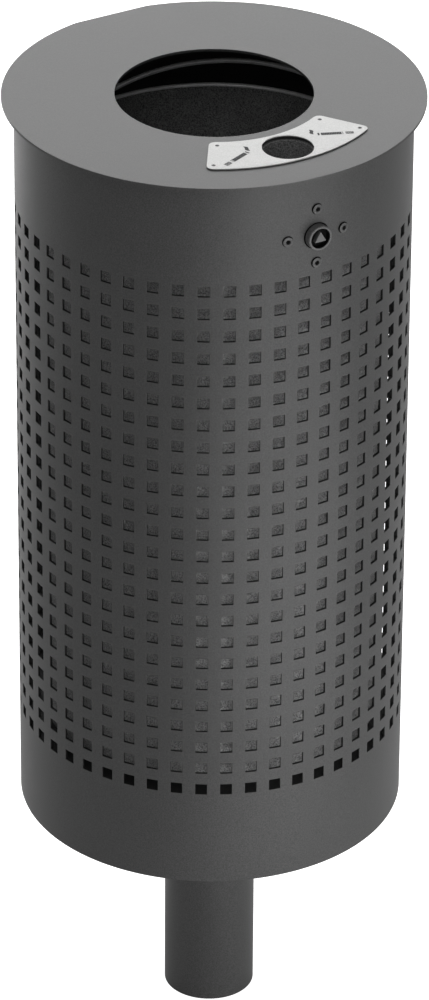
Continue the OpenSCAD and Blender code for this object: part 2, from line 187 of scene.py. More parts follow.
def lathe_into(bm, profile, place=Matrix.Identity(4), segments=ROUND):
    """Adds the closed outline of (radius, height) points turned about Z, then placed.

    A third value on a point gives that ring flat sides, as in a hexagon socket.
    """
    rings = []
    for radius, height, *sides in profile:
        if radius == 0:
            rings.append([bm.verts.new(place @ Vector((0, 0, height)))])
            continue
        ring = []
        for i in range(segments):
            turn = 2 * math.pi * i / segments
            reach = radius
            if sides:
                half = math.pi / sides[0]
                reach = radius * math.cos(half) / math.cos(turn % (2 * half) - half)
            spot = Vector((reach * math.cos(turn), reach * math.sin(turn), height))
            ring.append(bm.verts.new(place @ spot))
        rings.append(ring)
    for one, two in zip(rings, rings[1:] + rings[:1]):
        if len(one) == 1 and len(two) == 1:
            continue
        for i in range(segments):
            j = (i + 1) % segments
            corners = [one[i % len(one)], one[j % len(one)], two[j % len(two)], two[i % len(two)]]
            bm.faces.new(list(dict.fromkeys(corners)))


def lathe(name, profile, place=Matrix.Identity(4), segments=ROUND):
    bm = bmesh.new()
    lathe_into(bm, profile, place, segments)
    return piece_from(name, bm)


def plate(name, outlines, low, high, edge=0.3 * MM, place=Matrix.Identity(4)):
    """A flat plate from low to high along Z. The first outline is its edge and the others are holes."""
    data = bpy.data.curves.new(name, "CURVE")
    data.dimensions = "2D"
    data.fill_mode = "BOTH"
    data.extrude = (high - low) / 2 - edge
    data.bevel_depth = edge
    data.bevel_resolution = 1
    data.offset = -edge
    for index, outline in enumerate(outlines):
        area = sum(a[0] * b[1] - b[0] * a[1] for a, b in zip(outline, outline[1:] + outline[:1]))
        if (area > 0) == (index > 0):
            outline = outline[::-1]
        spline = data.splines.new("POLY")
        spline.points.add(len(outline) - 1)
        spline.use_cyclic_u = True
        for point, (x, y) in zip(spline.points, outline):
            point.co = (x, y, 0, 1)
    curve = bpy.data.objects.new(name + ".outline", data)
    bpy.context.scene.collection.objects.link(curve)
    graph = bpy.context.evaluated_depsgraph_get()
    mesh = bpy.data.meshes.new_from_object(curve.evaluated_get(graph))
    bpy.data.objects.remove(curve)
    mesh.transform(place @ Matrix.Translation((0, 0, (low + high) / 2)))
    bm = bmesh.new()
    bm.from_mesh(mesh)
    bmesh.ops.remove_doubles(bm, verts=bm.verts, dist=1e-6)
    bpy.data.meshes.remove(mesh)
    return piece_from(name, bm)


def tube_into(bm, path, radius, sides=16):
    """Adds a round bar along a list of points, with flat ends."""
    rings = []
    normal = None
    for i, point in enumerate(path):
        before = path[max(i - 1, 0)]
        after = path[min(i + 1, len(path) - 1)]
        along = (after - before).normalized()
        if normal is None:
            normal = along.orthogonal().normalized()
        normal = (normal - along * normal.dot(along)).normalized()
        side = along.cross(normal)
        turns = [2 * math.pi * k / sides for k in range(sides)]
        rings.append([bm.verts.new(point + (normal * math.cos(t) + side * math.sin(t)) * radius)
                      for t in turns])
    for one, two in zip(rings, rings[1:]):
        for k in range(sides):
            j = (k + 1) % sides
            bm.faces.new([one[k], one[j], two[j], two[k]])
    bm.faces.new(rings[0][::-1])
    bm.faces.new(rings[-1])


def box_into(bm, low, high, place):
    """Adds a box between two corners."""
    size = Vector(high) - Vector(low)
    middle = (Vector(high) + Vector(low)) / 2
    fitted = Matrix.Translation(middle) @ Matrix.Diagonal((*size, 1))
    bmesh.ops.create_cube(bm, size=1, matrix=place @ fitted)


def bevelled(piece, width):
    """Rounds a piece's sharp edges ahead of its normals."""
    modifier = piece.modifiers.new("edges", "BEVEL")
    modifier.width = width
    modifier.segments = 2
    modifier.limit_method = "ANGLE"
    modifier.angle_limit = math.radians(30)
    piece.modifiers.move(len(piece.modifiers) - 1, 0)
    return piece


def outward(angle, height, distance=0.0):
    """A place whose Z axis points out of the casing at an angle from the front, in degrees."""
    return (Matrix.Rotation(math.radians(angle), 4, "Z") @ Matrix.Translation((0, -distance, height))
            @ Matrix.Rotation(math.radians(90), 4, "X"))


def across(x):
    """A place on the hinge's axis whose Z axis points along +X."""
    return Matrix.Translation((x, HINGE_Y, HINGE_Z)) @ Matrix.Rotation(math.radians(90), 4, "Y")


def settle(piece, body, material, slot, *nodes):
    """Puts a finished piece on its body, in place of the CAD nodes that it shows."""
    piece.data.materials.clear()
    piece.data.materials.append(material)
    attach(piece, body)
    if nodes:
        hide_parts(*nodes)


# ---- materials ------------------------------------------------------------------------

class Finish:
    """A node material with short ways to add texture, colour and bump."""

    def __init__(self, name, colour, metallic=0.0, roughness=0.5):
        self.material = bpy.data.materials.new(name)
        self.material.use_nodes = True
        self.tree = self.material.node_tree
        self.shader = self.tree.nodes["Principled BSDF"]
        self.shader.inputs["Base Color"].default_value = (*colour, 1)
        self.shader.inputs["Metallic"].default_value = metallic
        self.shader.inputs["Roughness"].default_value = roughness
        self.colour = colour
        self.relief = None

    def add(self, kind, **values):
        made = self.tree.nodes.new(kind)
        for key, value in values.items():
            setattr(made, key, value)
        return made

    def link(self, source, target):
        self.tree.links.new(source, target)

    def coordinates(self, scale=(1, 1, 1)):
        place = self.add("ShaderNodeTexCoord")
        mapping = self.add("ShaderNodeMapping")
        mapping.inputs["Scale"].default_value = scale
        self.link(place.outputs["Object"], mapping.inputs["Vector"])
        return mapping.outputs["Vector"]

    def noise(self, scale, detail=2.0, stretch=(1, 1, 1)):
        made = self.add("ShaderNodeTexNoise")
        made.inputs["Scale"].default_value = scale
        made.inputs["Detail"].default_value = detail
        self.link(self.coordinates(stretch), made.inputs["Vector"])
        return made.outputs["Fac"]

    def cells(self, scale):
        """Flat cells, each with a number of its own from 0 to 1."""
        made = self.add("ShaderNodeTexVoronoi")
        made.inputs["Scale"].default_value = scale
        self.link(self.coordinates(), made.inputs["Vector"])
        channels = self.add("ShaderNodeSeparateColor")
        self.link(made.outputs["Color"], channels.inputs["Color"])
        return channels.outputs["Red"]

    def remap(self, value, low, high, new_low, new_high):
        made = self.add("ShaderNodeMapRange")
        self.link(value, made.inputs["Value"])
        made.inputs["From Min"].default_value = low
        made.inputs["From Max"].default_value = high
        made.inputs["To Min"].default_value = new_low
        made.inputs["To Max"].default_value = new_high
        return made.outputs["Result"]

    def blend(self, kind, factor, one, two):
        """Mixes two colours, each a socket or a plain colour.

        The node keeps its colours at inputs 6 and 7, and gives the result at output 2.
        """
        made = self.add("ShaderNodeMix", data_type="RGBA", blend_type=kind)
        if isinstance(factor, float):
            made.inputs[0].default_value = factor
        else:
            self.link(factor, made.inputs[0])
        for socket, value in ((made.inputs[6], one), (made.inputs[7], two)):
            if isinstance(value, tuple):
                socket.default_value = (*value[:3], 1)
            else:
                self.link(value, socket)
        return made.outputs[2]

    def vary(self, pattern, low, high, amount, base=None):
        """Lightens and darkens the colour by amount, following a pattern between low and high."""
        factor = self.remap(pattern, low, high, 1 - amount, 1 + amount)
        tint = self.add("ShaderNodeCombineColor")
        for channel in ("Red", "Green", "Blue"):
            self.link(factor, tint.inputs[channel])
        return self.blend("MULTIPLY", 1.0, base or self.colour, tint.outputs["Color"])

    def skin(self, colour, deep, radius):
        """Painted shade: keeps a colour on the outside of a round shell and darkens what lies deeper than
        its surface layer to a shade colour.
        """
        reach = self.add("ShaderNodeVectorMath", operation="LENGTH")
        self.link(self.coordinates((1, 1, 0)), reach.inputs[0])
        outside = self.remap(reach.outputs["Value"], radius - 0.55 * MM, radius - 0.2 * MM, 0, 1)
        return self.blend("MIX", outside, deep, colour)

    def paint(self, colour):
        self.link(colour, self.shader.inputs["Base Color"])

    def rough(self, pattern, low, high, least, most):
        self.link(self.remap(pattern, low, high, least, most), self.shader.inputs["Roughness"])

    def bump(self, pattern, strength, distance):
        """Adds a layer of relief on top of the ones before it."""
        made = self.add("ShaderNodeBump")
        made.inputs["Strength"].default_value = strength
        made.inputs["Distance"].default_value = distance
        self.link(pattern, made.inputs["Height"])
        if self.relief:
            self.link(self.relief, made.inputs["Normal"])
        self.relief = made.outputs["Normal"]
        self.link(self.relief, self.shader.inputs["Normal"])


SHADED = (0.008, 0.008, 0.008)     # painted shade: the coat's colour where little light reaches
MIDDLE = (0.3, 0.7)                # most of a noise pattern's values lie between these


def powder_coat(name, colour, shade_inside_radius=None):
    """Fine-texture powder coat: pinhead grain, faint orange peel and slow drifts of tone.

    A round shell gets painted shade: darker inside its holes and behind them.
    """
    finish = Finish(name, colour, roughness=0.55)
    grain = finish.noise(750, detail=3.0)
    speck = finish.noise(2600, detail=0.0)
    peel = finish.noise(260, detail=1.0)
    drift = finish.noise(7, detail=2.0)
    toned = finish.vary(drift, 0.35, 0.65, 0.05)
    grained = finish.vary(grain, *MIDDLE, 0.40, toned)
    coated = finish.vary(speck, 0.25, 0.75, 0.20, grained)
    # Painted shade: within a round shell, the coat turns near-black.
    if shade_inside_radius:
        coated = finish.skin(coated, SHADED, shade_inside_radius)
    finish.paint(coated)
    finish.rough(grain, *MIDDLE, 0.38, 0.50)
    finish.bump(peel, 0.25, 0.12 * MM)
    finish.bump(grain, 0.45, 0.10 * MM)
    return finish.material


def brushed_stainless(name, colour, stretch):
    """Stainless sheet with a straight grain: stretch is short along the grain and long across it."""
    finish = Finish(name, colour, metallic=0.85, roughness=0.55)
    lines = finish.noise(1.0, detail=3.0, stretch=stretch)
    cloud = finish.noise(28, detail=2.0)
    dirt = finish.noise(800, detail=2.0)
    toned = finish.vary(cloud, *MIDDLE, 0.02)
    lined = finish.vary(lines, 0.25, 0.75, 0.05, toned)
    finish.paint(finish.vary(dirt, *MIDDLE, 0.09, lined))
    finish.rough(lines, 0.25, 0.75, 0.50, 0.60)
    finish.bump(lines, 0.12, 0.03 * MM)
    return finish.material


def galvanised(name, colour, metallic=0.35, inside=None, shade_inside_radius=None):
    """Galvanised sheet: crystal flakes of different tone, over a dull, slightly uneven surface.

    A round shell can get painted shade on its inside, darker than its outside.
    """
    finish = Finish(name, colour, metallic=metallic, roughness=0.5)
    flake = finish.cells(95)
    small = finish.noise(700, detail=3.0)
    stain = finish.noise(14, detail=3.0)
    # Painted shade: an inside colour, when given, darkens the inside of the shell.
    base = finish.skin(colour, inside, shade_inside_radius) if inside else colour
    flaked = finish.vary(flake, 0.0, 1.0, 0.08, base)
    stained = finish.vary(stain, *MIDDLE, 0.06, flaked)
    finish.paint(finish.vary(small, 0.35, 0.65, 0.55, stained))
    finish.rough(flake, 0.0, 1.0, 0.48, 0.60)
    finish.bump(small, 0.2, 0.06 * MM)
    return finish.material


def plated(name, colour, roughness=0.34, metallic=1.0):
    """Zinc-plated or plain turned metal with fine scratches and a faint cloud."""
    finish = Finish(name, colour, metallic=metallic, roughness=roughness)
    fine = finish.noise(1800, detail=2.0, stretch=(1, 1, 0.25))
    cloud = finish.noise(160, detail=2.0)
    toned = finish.vary(cloud, *MIDDLE, 0.07)
    finish.paint(finish.vary(fine, *MIDDLE, 0.08, toned))
    finish.rough(cloud, *MIDDLE, roughness - 0.08, roughness + 0.12)
    finish.bump(fine, 0.12, 0.03 * MM)
    return finish.material


def etched(name, colour):
    """Dark etched fields of the pictograms, with a rough grain."""
    finish = Finish(name, colour, metallic=0.4, roughness=0.7)
    grain = finish.noise(2400, detail=2.0)
    finish.paint(finish.vary(grain, *MIDDLE, 0.18))
    finish.bump(grain, 0.2, 0.02 * MM)
    return finish.material


def moulded(name, colour, shine=0.5, roughness=0.5):
    """A cast or moulded surface with a fine spark-eroded grain."""
    finish = Finish(name, colour, roughness=roughness)
    finish.shader.inputs["Specular IOR Level"].default_value = shine
    grain = finish.noise(1600, detail=2.0)
    finish.paint(finish.vary(grain, *MIDDLE, 0.15))
    finish.rough(grain, *MIDDLE, roughness - 0.08, roughness + 0.1)
    finish.bump(grain, 0.3, 0.05 * MM)
    return finish.material


def floor_paint(name, level, glow):
    """Pale matt paint, which can also shine with a light of its own."""
    finish = Finish(name, (level, level, level), roughness=0.8)
    finish.paint(finish.vary(finish.noise(1.5, detail=1.0), *MIDDLE, 0.01))
    finish.shader.inputs["Emission Color"].default_value = WHITE
    finish.shader.inputs["Emission Strength"].default_value = glow
    return finish.material


def grey(level):
    return (level, level, level)


COAT = powder_coat("powder_coat", grey(0.045))
# The casing's coat: painted shade on its hole walls and on its inside.
COAT_SHELL_SHADED = powder_coat("powder_coat_shell_shaded", grey(0.045), CASING_R)
# A darker copy of the coat: painted shade for the casing floor and the lock plate inside the casing.
COAT_PAINTED_SHADE = powder_coat("powder_coat_painted_shade", grey(0.012))
# A lighter copy of the coat: painted light on the lock barrel, which the casing keeps from most lamps.
LOCK_COAT_PAINTED_LIGHT = powder_coat("lock_coat_painted_light", grey(0.12))
RIVET_COAT = powder_coat("rivet_coat", grey(0.065))
STEEL = brushed_stainless("stainless_brushed", (0.485, 0.485, 0.48), (30, 1400, 1400))
PIN_STEEL = plated("stainless_turned", (0.62, 0.62, 0.61), 0.3)
ZINC = plated("zinc_plated", (0.60, 0.61, 0.63))
GALVANISED = galvanised("galvanised", grey(0.60))
# The liner's zinc: painted shade on its inside, darker than the outside seen through the casing's holes.
LINER_ZINC_SHADED_INSIDE = galvanised("galvanised_liner_shaded_inside", grey(0.45), 0.55, grey(0.31), LINER_R)
# Zinc plating, brightened to near-white past its own grey as a painted highlight on the bail and the rim
# bead.
WIRE_ZINC_AND_HIGHLIGHT = plated("wire_zinc_and_highlight", grey(0.95), 0.36, 0.25)
KEY_METAL = moulded("key_metal", grey(0.13))
ETCHED = etched("etched_black", (0.05, 0.05, 0.052))
PLASTIC = moulded("bush_plastic", (0.018, 0.018, 0.019))
# Near-black: painted shade for the lock's recess, the gap round its barrel, the rivet bores and the rings
# under the rivet heads.
LOCK_PAINTED_SHADE = moulded("lock_painted_shade", grey(0.004), 0.12, 0.85)
FIXING = plated("fixing_steel", grey(0.12), 0.4)
CUP_METAL = galvanised("cup_metal", grey(0.27))


# ---- casing ---------------------------------------------------------------------------

def on_casing(angle, radius, height):
    """A point at an angle from the front, in radians, at a distance from the casing's axis."""
    return Vector((radius * math.sin(angle), -radius * math.cos(angle), height))


def casing_lines():
    """Upright grid lines: angle on the outer face, angle on the inner face, and whether holes follow."""
    half_out = math.asin(HOLE / 2 / CASING_R)
    half_in = math.asin(HOLE / 2 / CASING_IN)
    seam_lines = 5
    lines = []
    for column in range(HOLE_COLUMNS):
        centre = (column + 0.5 - HOLE_COLUMNS / 2) * COLUMN_STEP
        lines.append((centre - half_out, centre - half_in, True))
        lines.append((centre, centre, True))
        lines.append((centre + half_out, centre + half_in, False))
        if column < HOLE_COLUMNS - 1:
            middle = centre + COLUMN_STEP / 2
            lines.append((middle, middle, False))
    seam_from = lines[-1][0]
    seam_to = lines[0][0] + 2 * math.pi
    for i in range(1, seam_lines + 1):
        angle = seam_from + (seam_to - seam_from) * i / (seam_lines + 1)
        lines.append((angle, angle, False))
    return lines


def casing_levels():
    """Level grid lines: height, and whether a row of holes follows."""
    levels = [(CASING_BOTTOM, False)]
    for row in range(HOLE_ROWS):
        middle = FIRST_ROW_Z + row * HOLE_PITCH
        levels.append((middle - HOLE / 2, True))
        levels.append((middle + HOLE / 2, False))
    levels.append((CASING_TOP, False))
    return levels


def perforated_mesh():
    """The casing's sheet: a grid of outer and inner faces, with walls round each hole."""
    lines = casing_lines()
    levels = casing_levels()
    bm = bmesh.new()
    outer = [[bm.verts.new(on_casing(out, CASING_R, z)) for z, _ in levels] for out, _, _ in lines]
    inner = [[bm.verts.new(on_casing(into, CASING_IN, z)) for z, _ in levels] for _, into, _ in lines]

    def bridge(i, k, j, m):
        bm.faces.new([outer[i][k], outer[j][m], inner[j][m], inner[i][k]])

    for i, (_, _, holes_follow) in enumerate(lines):
        j = (i + 1) % len(lines)
        bridge(i, 0, j, 0)
        bridge(i, -1, j, -1)
        for k, (_, row_follows) in enumerate(levels[:-1]):
            if not (holes_follow and row_follows):
                for side in (outer, inner):
                    bm.faces.new([side[i][k], side[j][k], side[j][k + 1], side[i][k + 1]])
                continue
            bridge(i, k, j, k)
            bridge(i, k + 1, j, k + 1)
            if not lines[i - 1][2]:
                bridge(i, k, i, k + 1)
            if not lines[j][2]:
                bridge(j, k, j, k + 1)
    return mesh_from("casing_shell", bm)


def drilled(piece, radius, place, depth):
    """Cuts one round hole along a place's Z axis, as deep on each side of its origin as depth."""
    bm = bmesh.new()
    bmesh.ops.create_cone(bm, cap_ends=True, segments=FINE, radius1=radius, radius2=radius,
                          depth=2 * depth, matrix=place)
    cutter = bpy.data.objects.new("cutter", mesh_from("cutter", bm))
    bpy.context.scene.collection.objects.link(cutter)
    modifier = piece.modifiers.new("hole", "BOOLEAN")
    modifier.object = cutter
    modifier.solver = "EXACT"
    graph = bpy.context.evaluated_depsgraph_get()
    cut = bpy.data.meshes.new_from_object(piece.evaluated_get(graph))
    piece.modifiers.remove(modifier)
    bpy.data.objects.remove(cutter)
    piece.data = cut


def make_casing():
    shell = new_object("casing_shell", perforated_mesh(), weighted=False)
    drilled(shell, LOCK_HOLE_R, outward(0, LOCK_Z, CASING_R), 10 * MM)
    bevelled(shell, 0.35 * MM)
    shell.modifiers.new("normals", "WEIGHTED_NORMAL")
    # The shell's coat carries painted shade in its holes and on its inside.
    settle(shell, "casing", COAT_SHELL_SHADED, "coated_casing", "casing")


def make_seam_weld():
    """The upright weld at the rear, ground almost flush and never quite straight."""
    bm = bmesh.new()
    bead_radius = 1.2 * MM
    proud = 0.16 * MM
    steps = 260
    margin = 2 * MM
    low = CASING_BOTTOM + margin
    high = CASING_TOP - margin
    path = []
    for i in range(steps + 1):
        z = low + (high - low) * i / steps
        wobble = (math.sin(i * 1.9) * 0.10 + math.sin(i * 0.37) * 0.14) * MM
        path.append(on_casing(math.pi + wobble / CASING_R, CASING_R - bead_radius + proud, z))
    tube_into(bm, path, bead_radius)
    weld = piece_from("casing_seam_weld", bm)
    settle(weld, "casing", COAT, "coated_casing")


# ---- post -----------------------------------------------------------------------------

def make_post():
    inner = POST_R - POST_WALL
    low = post_lo.z
    high = post_hi.z
    edge = 0.8 * MM
    tube = ([(inner, low + edge), (inner + edge, low), (POST_R - edge, low)]
            + arc(POST_R - edge, low + edge, edge, -90, 0, 4)[1:]
            + [(POST_R, high), (inner, high)])
    settle(lathe("post_tube", tube), "casing", COAT, "coated_post", "post")


def make_post_weld():
    leg = 5 * MM
    high = post_hi.z
    root = POST_R - 0.5 * MM
    hollow = arc(POST_R + leg, high - leg, leg, 180, 90, 6)
    settle(lathe("post_weld", [(root, high), (root, high - leg)] + hollow), "casing", COAT, "coated_post")


# ---- lid and ash plate ----------------------------------------------------------------

def joined(*stretches):
    """One closed outline from several stretches, with no point repeated."""
    points = []
    for stretch in stretches:
        for point in stretch:
            if not points or (Vector(point) - Vector(points[-1])).length > 1e-6:
                points.append(point)
    if (Vector(points[0]) - Vector(points[-1])).length < 1e-6:
        points.pop()
    return points


def make_lid():
    flat_half = math.degrees(math.acos(LID_FLAT_Y / LID_R))
    edge = arc(0, 0, LID_R, 90 + flat_half, 450 - flat_half, ROUND)
    holes = [circle(0, 0, MOUTH_R), circle(0, ASH_HOLE_Y, ASH_WELL_R, MEDIUM)]
    disc = plate("lid_disc", [edge] + holes, lid_lo.z, lid_hi.z, edge=0.45 * MM)
    settle(disc, "lid", COAT, "coated_lid", "lid")


def sector_outline(inner, outer, half, corner):
    """A ring sector about the front, in degrees, with four round corners."""
    out_at = outer - corner
    in_at = inner + corner
    out_angle = half - math.degrees(math.asin(corner / out_at))
    in_angle = half - math.degrees(math.asin(corner / in_at))

    def centre(angle, radius):
        turn = math.radians(angle)
        return radius * math.sin(turn), -radius * math.cos(turn)

    return joined(
        arc(0, 0, outer, -90 - out_angle, -90 + out_angle, 48),
        arc(*centre(out_angle, out_at), corner, out_angle - 90, half, 8),
        arc(*centre(in_angle, in_at), corner, half, in_angle + 90, 8),
        arc(0, 0, inner, in_angle - 90, -in_angle - 90, 48),
        arc(*centre(-in_angle, in_at), corner, -in_angle - 270, -half - 180, 8),
        arc(*centre(-out_angle, out_at), corner, -half - 180, -out_angle - 90, 8))


def crown(radius, height, inside, base, steps=10):
    """The curve of a domed head from its rim in to a radius, for a head that stands on base."""
    cap = height * 0.9
    ball = (radius * radius + cap * cap) / (2 * cap)
    centre = base + height - ball
    points = [(radius, base)]
    for i in range(steps + 1):
        r = radius + (inside - radius) * i / steps
        points.append((r, centre + math.sqrt(ball * ball - r * r)))
    return points


def make_ash_plate():
    edge = sector_outline(PLATE_INNER, PLATE_OUTER, PLATE_HALF_ANGLE, PLATE_CORNER)
    sheet = plate("ash_plate_sheet", [edge, circle(0, ASH_HOLE_Y, ASH_HOLE_R, MEDIUM)],
                  plate_lo.z, plate_hi.z, edge=0.6 * MM)
    settle(sheet, "lid", STEEL, "stainless", "ash_plate")


ASH_FIXINGS = ((121.5 * MM, 28.8), (164.5 * MM, 30.4))     # radius, and degrees to each side of the front


def make_ash_fixings():
    base = plate_hi.z
    dimple = 0.9 * MM
    dimple_floor = base + 0.05 * MM
    head = crown(2.1 * MM, 0.4 * MM, dimple, base)
    profile = [(0, base - 0.3 * MM)] + head + [(dimple - 0.1 * MM, dimple_floor), (0, dimple_floor)]
    bm = bmesh.new()
    for radius, angle in ASH_FIXINGS:
        for side in (-1, 1):
            spot = on_casing(math.radians(side * angle), radius, 0)
            lathe_into(bm, profile, Matrix.Translation(spot), FINE)
    fixings = piece_from("ash_plate_fixings", bm)
    settle(fixings, "lid", FIXING, "stainless", "ash_plate_rivets")


def strip(start, end, half_width, gap=0.0):
    """A straight strip between two points, as an outline, shortened by gap at each end."""
    along = (Vector(end) - Vector(start)).normalized()
    side = Vector((-along.y, along.x)) * half_width
    a = Vector(start) + along * gap
    b = Vector(end) - along * gap
    return [tuple(a - side), tuple(b - side), tuple(b + side), tuple(a + side)]


def wisp(start, end, bend, half_width, steps=14):
    """A curl of smoke: an S-shaped strip that narrows to its ends."""
    a = Vector(start)
    along = Vector(end) - a
    side = Vector((-along.y, along.x)).normalized()
    left = []
    right = []
    for i in range(steps + 1):
        t = i / steps
        middle = a + along * t + side * bend * math.sin(2 * math.pi * t)
        half = half_width * (0.25 + math.sin(math.pi * t))
        left.append(tuple(middle + side * half))
        right.append(tuple(middle - side * half))
    return right + left[::-1]


def cigarette(filter_end, ember_end, half_width):
    """Outlines of a plain cigarette: a hatched filter, a framed and shaded body, and an ember bar."""
    a = Vector(filter_end)
    b = Vector(ember_end)
    length = (b - a).length
    along = (b - a) / length

    def at(distance):
        return a + along * distance

    marks = []
    hatch = 0.75 * MM
    line = 0.55 * MM
    fill = 1.6 * MM
    ember = 1.8 * MM
    filter_length = length * 0.23
    body_from = filter_length + 2.2 * MM
    body_to = length - 3.4 * MM
    bars = int(filter_length / (hatch * 1.35))
    for i in range(bars):
        start = filter_length * i / bars
        marks.append([strip(at(start), at(start + hatch), half_width)])
    body = strip(at(body_from), at(body_to), half_width)
    window = strip(at(body_from), at(body_to), half_width - line, gap=line)
    marks.append([body, window])
    fills = 13
    for i in range(1, fills):
        start = body_from + (body_to - body_from) * i / fills
        marks.append([strip(at(start), at(start + fill), half_width - line)])
    marks.append([strip(at(length - ember), at(length), half_width)])
    return marks


def make_marks():
    """Etched pictograms of a lit cigarette at each side of the hole."""
    marks = []
    for side in (-1, 1):
        filter_end = (side * 72.8 * MM, -147.5 * MM)
        ember_end = (side * 39.8 * MM, -133.6 * MM)
        smoke_from = (side * 36.3 * MM, -132.0 * MM)
        smoke_to = (side * 37.5 * MM, -121.2 * MM)
        marks += cigarette(filter_end, ember_end, 2.6 * MM)
        marks.append([wisp(smoke_from, smoke_to, 1.0 * MM, 1.7 * MM)])
    low = plate_hi.z - 0.02 * MM
    high = plate_hi.z + 0.03 * MM
    pieces = [plate(f"mark_{i}", outlines, low, high, edge=0.01 * MM)
              for i, outlines in enumerate(marks)]
    settle(merged("ash_plate_marks", pieces), "lid", ETCHED, "stainless")


def merged(name, pieces):
    """One piece from several whose places are in their meshes."""
    bm = bmesh.new()
    for piece in pieces:
        mesh = piece.data
        bm.from_mesh(mesh)
        bpy.data.objects.remove(piece)
        bpy.data.meshes.remove(mesh)
    mesh = bpy.data.meshes.new(name)
    bm.to_mesh(mesh)
    bm.free()
    return new_object(name, mesh)


# ---- ash cup and its rails ------------------------------------------------------------

def make_ash_cup():
    radius = 26 * MM
    wall = 1.2 * MM
    flange_half = 30 * MM
    flange_t = 2 * MM
    floor = cup_lo.z
    top = cup_hi.z
    corner = 3 * MM
    pot = (arc(radius - corner, floor + corner, corner, -90, 0, 6)
           + [(radius, top - flange_t), (radius - wall, top - flange_t)]
           + arc(radius - corner, floor + corner, corner - wall, 0, -90, 6)
           + [(0, floor + wall), (0, floor)])
    pot_piece = lathe("ash_cup_pot", pot, Matrix.Translation((0, ASH_HOLE_Y, 0)))
    front = ASH_HOLE_Y - flange_half
    rear = ASH_HOLE_Y + flange_half
    square = rectangle(-flange_half, front, flange_half, rear)
    flange = plate("ash_cup_flange",
                   [rounded(square, corner), circle(0, ASH_HOLE_Y, radius - wall, MEDIUM)],
                   top - flange_t, top)
    tab_place = Matrix.Translation((0, rear, 0)) @ Matrix.Rotation(math.radians(90), 4, "X")
    grip = rectangle(-12 * MM, top - 14 * MM, 12 * MM, top - 0.5 * MM)
    tab = plate("ash_cup_tab", [rounded(grip, corner)], 0, wall, place=tab_place)
    settle(merged("ash_cup_body", [pot_piece, flange, tab]), "ash_cup", CUP_METAL, "zinc_plated", "ash_cup")


def make_ash_rails():
    """A pair of angle rails: each has a web, a lip for the cup's flange and a stop at its front end."""
    low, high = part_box("ash_cup_rails")
    wall = 2 * MM
    web = high.x - wall
    lip = 27.5 * MM
    bm = bmesh.new()
    for side in (-1, 1):
        flip = Matrix.Diagonal((side, 1, 1, 1))
        box_into(bm, (web, low.y, low.z), (high.x, high.y, high.z), flip)
        box_into(bm, (lip, low.y, low.z), (web, high.y, low.z + wall), flip)
        box_into(bm, (lip, low.y, low.z + wall), (web, low.y + wall, high.z), flip)
    rails = piece_from("ash_cup_runners", bm)
    settle(bevelled(rails, 0.3 * MM), "lid", COAT, "coated_lid", "ash_cup_rails")


# ---- lock -----------------------------------------------------------------------------

LOCK_PLACE = outward(0, LOCK_Z)
cam_lo, cam_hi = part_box("lock_cam")
CAM_FACE = -cam_lo.y
CAM_BACK = -cam_hi.y


def make_lock_housing():
    back = -lock_hi.y
    bore = 6.05 * MM
    chamfer = 0.5 * MM
    shoulder = 1.5 * MM
    lip = 0.5 * MM
    barrel = ([(bore, back), (LOCK_R - chamfer, back), (LOCK_R, back + chamfer)]
              + arc(LOCK_R - shoulder, LOCK_FACE - shoulder, shoulder, 0, 90, 6)
              + arc(RECESS_R + lip, LOCK_FACE - lip, lip, 90, 180, 4)
              + [(RECESS_R, RECESS_FLOOR), (bore, RECESS_FLOOR)])
    piece = lathe("lock_barrel", barrel, LOCK_PLACE, MEDIUM)
    # The barrel wears the lighter coat of painted light.
    settle(piece, "casing", LOCK_COAT_PAINTED_LIGHT, "lock_metal", "lock_housing")


def make_lock_recess_shade():
    """Painted shade: a near-black cup inside the recess."""
    wall = 0.25 * MM
    foot = RECESS_FLOOR + 0.05 * MM
    rim = LOCK_FACE - 0.7 * MM
    outer = RECESS_R + 0.1 * MM
    inner = RECESS_R - wall
    recess_shade = [(outer, foot), (outer, rim), (inner, rim - wall), (inner, foot)]
    recess_shade_piece = lathe("lock_recess_shade", recess_shade, LOCK_PLACE, MEDIUM)
    settle(recess_shade_piece, "casing", LOCK_PAINTED_SHADE, "lock_metal")


def make_lock_gap_shade():
    """Painted shade: a near-black ring that fills the gap between the barrel and its hole in the casing."""
    seat = CASING_IN + 0.2 * MM
    crest = CASING_R + 0.3 * MM
    inner = LOCK_R - 0.1 * MM
    outer = LOCK_R + 0.9 * MM
    gap_shade = [(inner, seat), (outer, seat), (outer, CASING_R - 1.1 * MM), (LOCK_R + 0.2 * MM, crest),
              (inner, crest)]
    ring = lathe("lock_gap_shade", gap_shade, LOCK_PLACE, MEDIUM)
    settle(ring, "casing", LOCK_PAINTED_SHADE, "lock_metal")


def make_lock_core():
    disc_r = RECESS_R - 0.5 * MM
    disc_top = RECESS_FLOOR + 1.5 * MM
    chamfer = 0.3 * MM
    shaft_r = 6 * MM
    profile = [(0, CAM_FACE), (shaft_r, CAM_FACE), (shaft_r, RECESS_FLOOR),
               (disc_r, RECESS_FLOOR + 0.05 * MM), (disc_r, disc_top - chamfer),
               (disc_r - chamfer, disc_top), (0, disc_top)]
    disc = lathe("lock_core_disc", profile, LOCK_PLACE, MEDIUM)
    # The core disc is near-black painted shade at the bottom of the recess.
    settle(disc, "lock", LOCK_PAINTED_SHADE, "lock_metal", "lock_core")
    point_up = [(-y, x) for x, y in circle(0, 0, 7.3 * MM, 3)]
    key = plate("lock_triangle", [rounded(point_up, 0.7 * MM)], disc_top - 0.5 * MM,
                LOCK_FACE - 0.3 * MM, edge=0.2 * MM, place=LOCK_PLACE)
    settle(key, "lock", KEY_METAL, "lock_metal")


